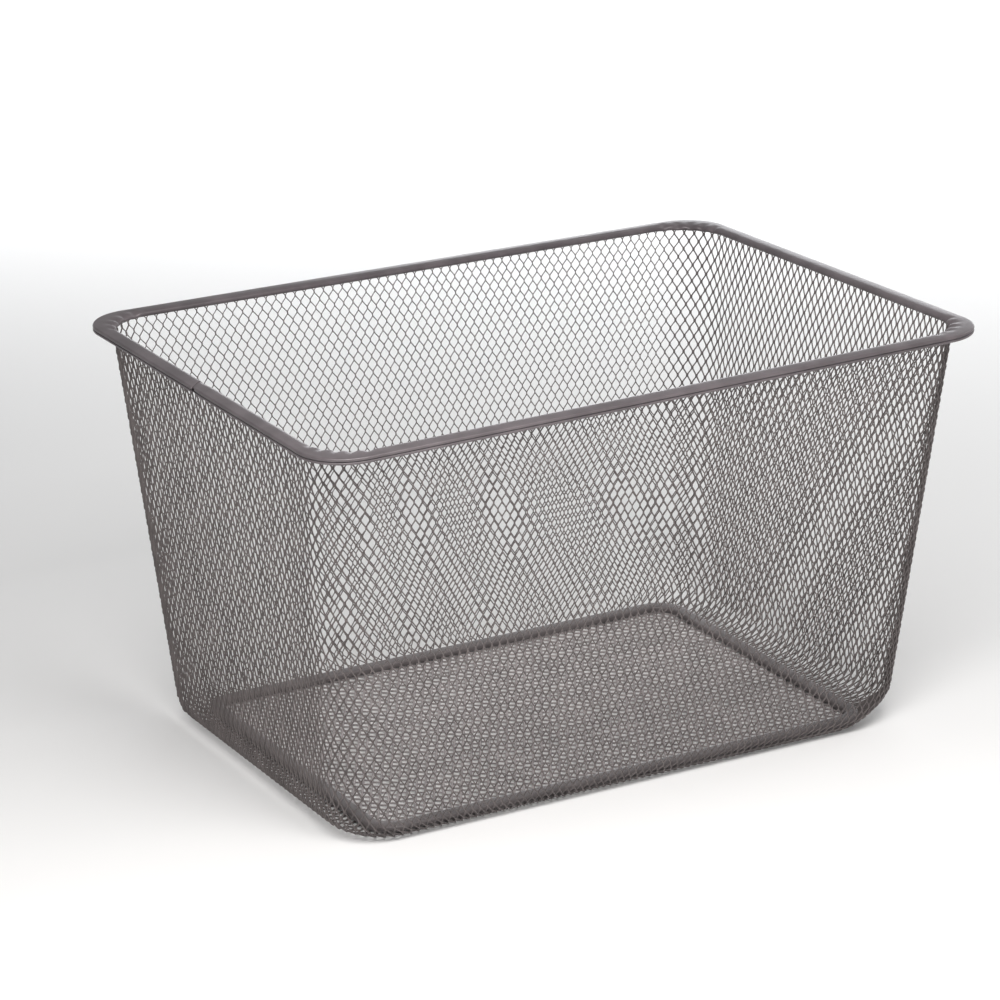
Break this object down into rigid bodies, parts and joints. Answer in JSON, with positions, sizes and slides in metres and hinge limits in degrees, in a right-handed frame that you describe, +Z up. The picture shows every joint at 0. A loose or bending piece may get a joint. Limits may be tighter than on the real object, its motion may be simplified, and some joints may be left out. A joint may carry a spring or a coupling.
{
  "type": "metal storage bin",
  "caption": "Tapered rectangular storage bin of expanded steel mesh with rounded corners, a rolled rim and a channel round its mesh floor.",
  "frame": {"origin": "centre of the bin in plan, on the flat underside of its foot", "axes": "+Z up, +X along the long sides, +Y towards the long side that is at the back in the picture"},
  "size_m": [0.4, 0.2946, 0.2252],
  "materials": {
    "powder_coated_mesh": "satin powder coat",
    "powder_coated_rim": "satin powder coat",
    "powder_coated_band": "satin powder coat"
  },
  "bodies": {
    "root": {"rim_edging": "powder_coated_rim", "wall_mesh": "powder_coated_mesh", "floor_mesh": "powder_coated_mesh", "base_band": "powder_coated_band"}
  },
  "joints": []
}
